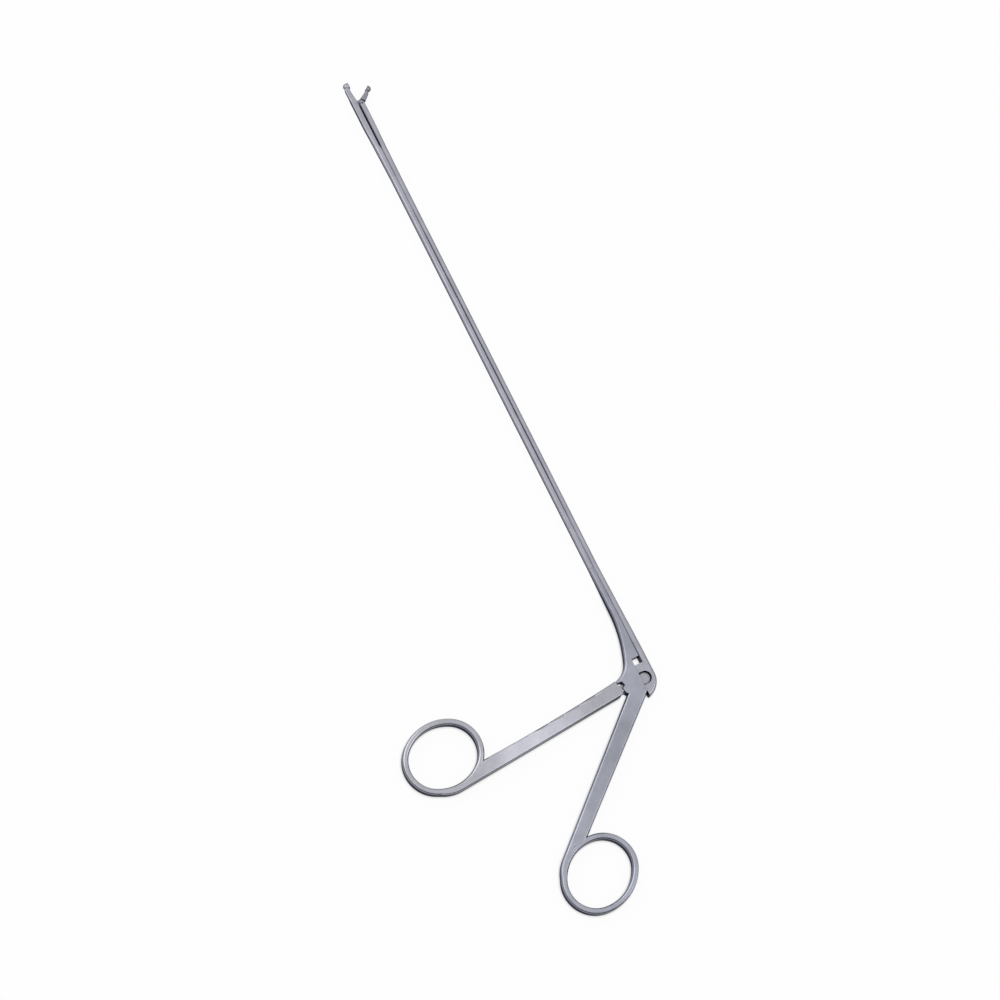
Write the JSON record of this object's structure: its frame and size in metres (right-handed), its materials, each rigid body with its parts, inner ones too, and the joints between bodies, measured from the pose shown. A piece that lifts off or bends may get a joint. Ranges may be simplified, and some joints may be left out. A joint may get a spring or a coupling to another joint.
{
  "type": "micro cup forceps",
  "caption": "Slim long-shafted forceps with finger rings: squeezing the front handle slides the upper bar forward and shuts a small round cup jaw on a fixed cup.",
  "frame": {"origin": "axis of the main pivot, at the flat side that the instrument rests on", "axes": "+X along the shaft towards the cups, +Y towards the finger rings, +Z through the thickness"},
  "size_m": [0.3074, 0.0993, 0.005],
  "materials": {
    "satin_steel": "satin",
    "pin_steel": "satin"
  },
  "bodies": {
    "frame": {"handle_body": "satin_steel", "fixed_shaft": "satin_steel", "pivot_rivet": "pin_steel", "jaw_pivot_pin": "pin_steel"},
    "lever": {"front_handle": "satin_steel"},
    "slider": {"slider": "satin_steel"},
    "jaw": {"cup_jaw": "satin_steel", "jaw_drive_pin": "pin_steel"}
  },
  "joints": [
    {"name": "lever_pivot", "type": "hinge", "parent": "frame", "child": "lever", "pos_m": [0, 0, 0], "axis": [0, 0, 1], "range_deg": [0, 17.7]},
    {"name": "slider_slide", "type": "slide", "parent": "frame", "child": "slider", "axis": [1, 0, 0], "range_m": [0, 0.00175]},
    {"name": "jaw_pivot", "type": "hinge", "parent": "frame", "child": "jaw", "pos_m": [0.2315, -0.00645, 0], "axis": [0, 0, 1], "range_deg": [0, 52]}
  ],
  "couplings": [
    {"joint": "slider_slide", "follows": "lever_pivot", "m_per_rad": 0.0056761},
    {"joint": "jaw_pivot", "follows": "lever_pivot", "ratio": 2.9379}
  ]
}
